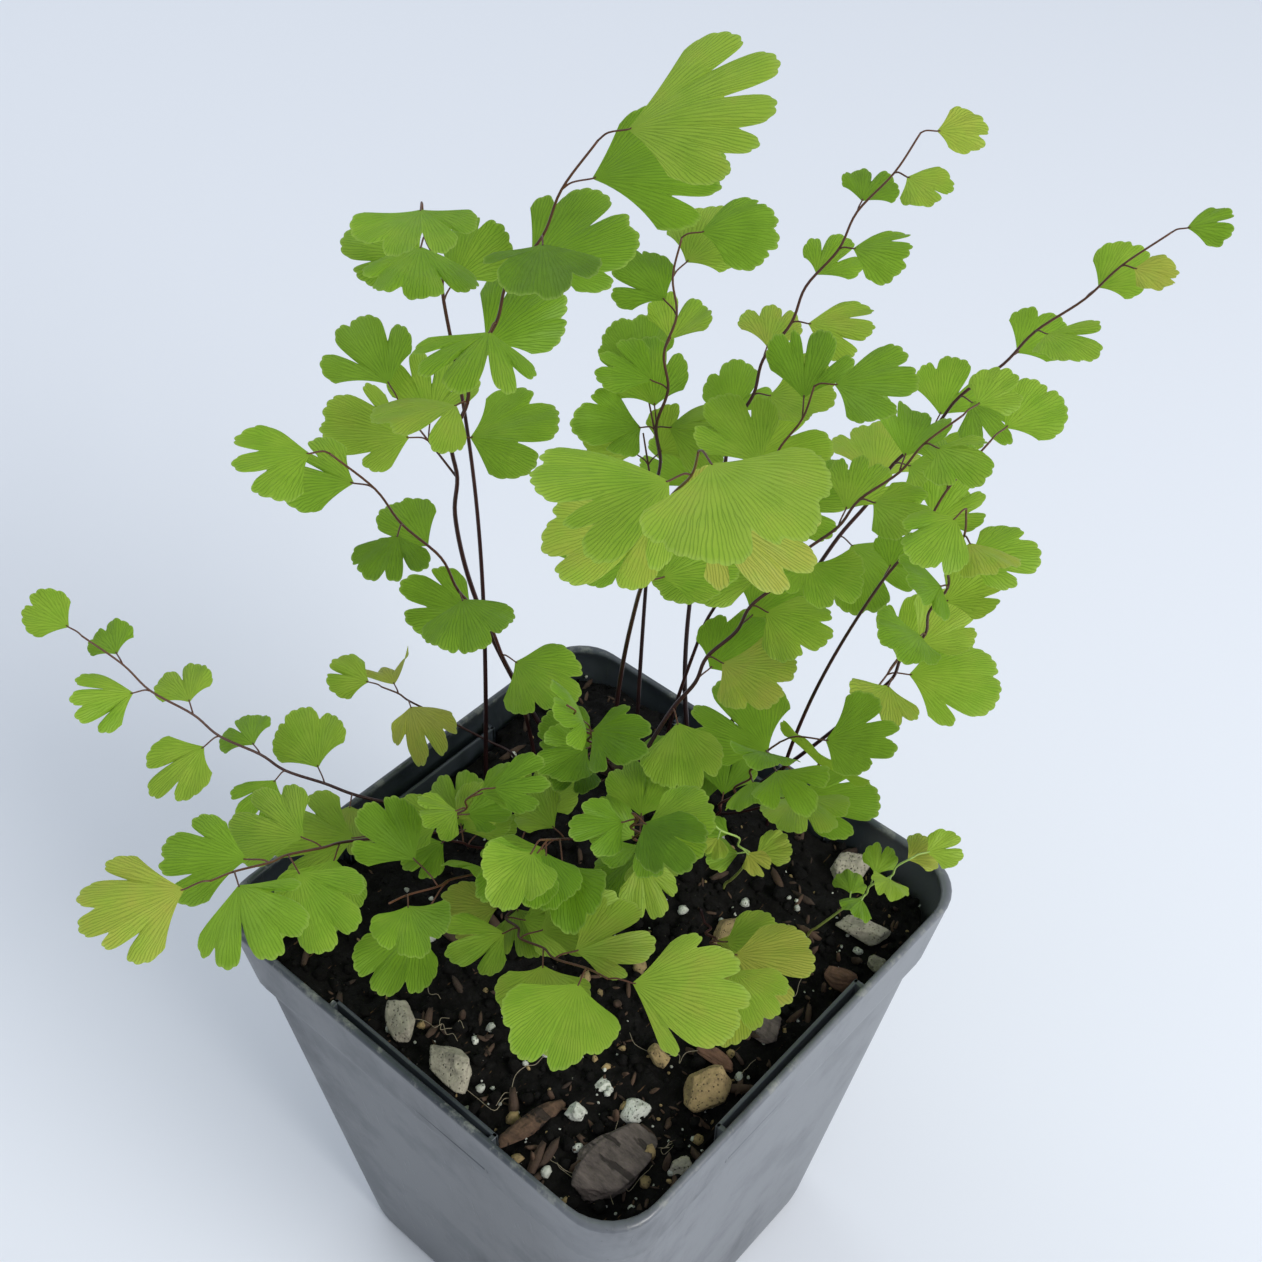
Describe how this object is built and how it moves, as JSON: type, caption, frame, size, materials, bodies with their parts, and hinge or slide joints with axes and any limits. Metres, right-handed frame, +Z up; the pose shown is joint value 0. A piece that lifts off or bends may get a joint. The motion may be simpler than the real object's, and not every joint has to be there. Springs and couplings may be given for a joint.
{
  "type": "potted fern",
  "caption": "Young maidenhair fern with thin dark arching stems and fan-shaped leaflets, in a square tapered nursery pot filled with dark peat and loose stones.",
  "frame": {"origin": "centre of the pot's underside, on the surface it stands on", "axes": "+Z up; X and Y along the pot's sides; the corner towards +X and -Y faces the viewer"},
  "size_m": [0.1472, 0.1867, 0.2639],
  "materials": {
    "brown_stone": "matte",
    "crown": "matte",
    "frond_back_right": "satin",
    "frond_centre_thin": "satin",
    "frond_far_left": "satin",
    "frond_far_right": "satin",
    "frond_front_main": "satin",
    "frond_inner_left": "satin",
    "frond_inner_right": "satin",
    "low_frond_near_left": "satin",
    "low_frond_middle": "satin",
    "frond_low_left": "satin",
    "frond_near_centre": "satin",
    "frond_over_rim": "satin",
    "frond_right": "satin",
    "frond_right_thin": "satin",
    "frond_spotted_arc": "satin",
    "frond_tall_left": "satin",
    "frond_tall_right": "satin",
    "frond_upper_left": "satin",
    "grey_bark_slab": "matte",
    "long_bark_chip": "matte",
    "long_pale_stone": "matte",
    "low_frond_centre": "satin",
    "low_frond_front": "satin",
    "low_frond_left": "satin",
    "low_frond_right": "satin",
    "pale_sprig": "satin",
    "pale_stone_front": "matte",
    "pale_stone_left": "matte",
    "pale_stone_right": "matte",
    "perlite_corner": "matte",
    "perlite_front": "matte",
    "perlite_low": "matte",
    "pinkish_stone": "matte",
    "pot": "satin",
    "red_brown_stone": "matte",
    "reddish_chip": "matte",
    "rim_pale_stone": "matte",
    "round_pale_stone": "matte",
    "small_pale_stone": "matte",
    "soil_plug": "matte",
    "tan_pebble": "matte",
    "tan_stone": "matte",
    "withered_frond": "satin",
    "young_frond_right": "satin"
  },
  "bodies": {
    "root": {"brown_stone": "brown_stone", "crown": "crown", "frond_back_right": "frond_back_right", "frond_centre_thin": "frond_centre_thin", "frond_far_left": "frond_far_left", "frond_far_right": "frond_far_right", "frond_front_main": "frond_front_main", "frond_inner_left": "frond_inner_left", "frond_inner_right": "frond_inner_right", "low_frond_near_left": "low_frond_near_left", "low_frond_middle": "low_frond_middle", "frond_low_left": "frond_low_left", "frond_near_centre": "frond_near_centre", "frond_over_rim": "frond_over_rim", "frond_right": "frond_right", "frond_right_thin": "frond_right_thin", "frond_spotted_arc": "frond_spotted_arc", "frond_tall_left": "frond_tall_left", "frond_tall_right": "frond_tall_right", "frond_upper_left": "frond_upper_left", "grey_bark_slab": "grey_bark_slab", "long_bark_chip": "long_bark_chip", "long_pale_stone": "long_pale_stone", "low_frond_centre": "low_frond_centre", "low_frond_front": "low_frond_front", "low_frond_left": "low_frond_left", "low_frond_right": "low_frond_right", "pale_sprig": "pale_sprig", "pale_stone_front": "pale_stone_front", "pale_stone_left": "pale_stone_left", "pale_stone_right": "pale_stone_right", "perlite_corner": "perlite_corner", "perlite_front": "perlite_front", "perlite_low": "perlite_low", "pinkish_stone": "pinkish_stone", "pot": "pot", "red_brown_stone": "red_brown_stone", "reddish_chip": "reddish_chip", "rim_pale_stone": "rim_pale_stone", "round_pale_stone": "round_pale_stone", "small_pale_stone": "small_pale_stone", "soil_plug": "soil_plug", "tan_pebble": "tan_pebble", "tan_stone": "tan_stone", "withered_frond": "withered_frond", "young_frond_right": "young_frond_right"}
  },
  "joints": []
}
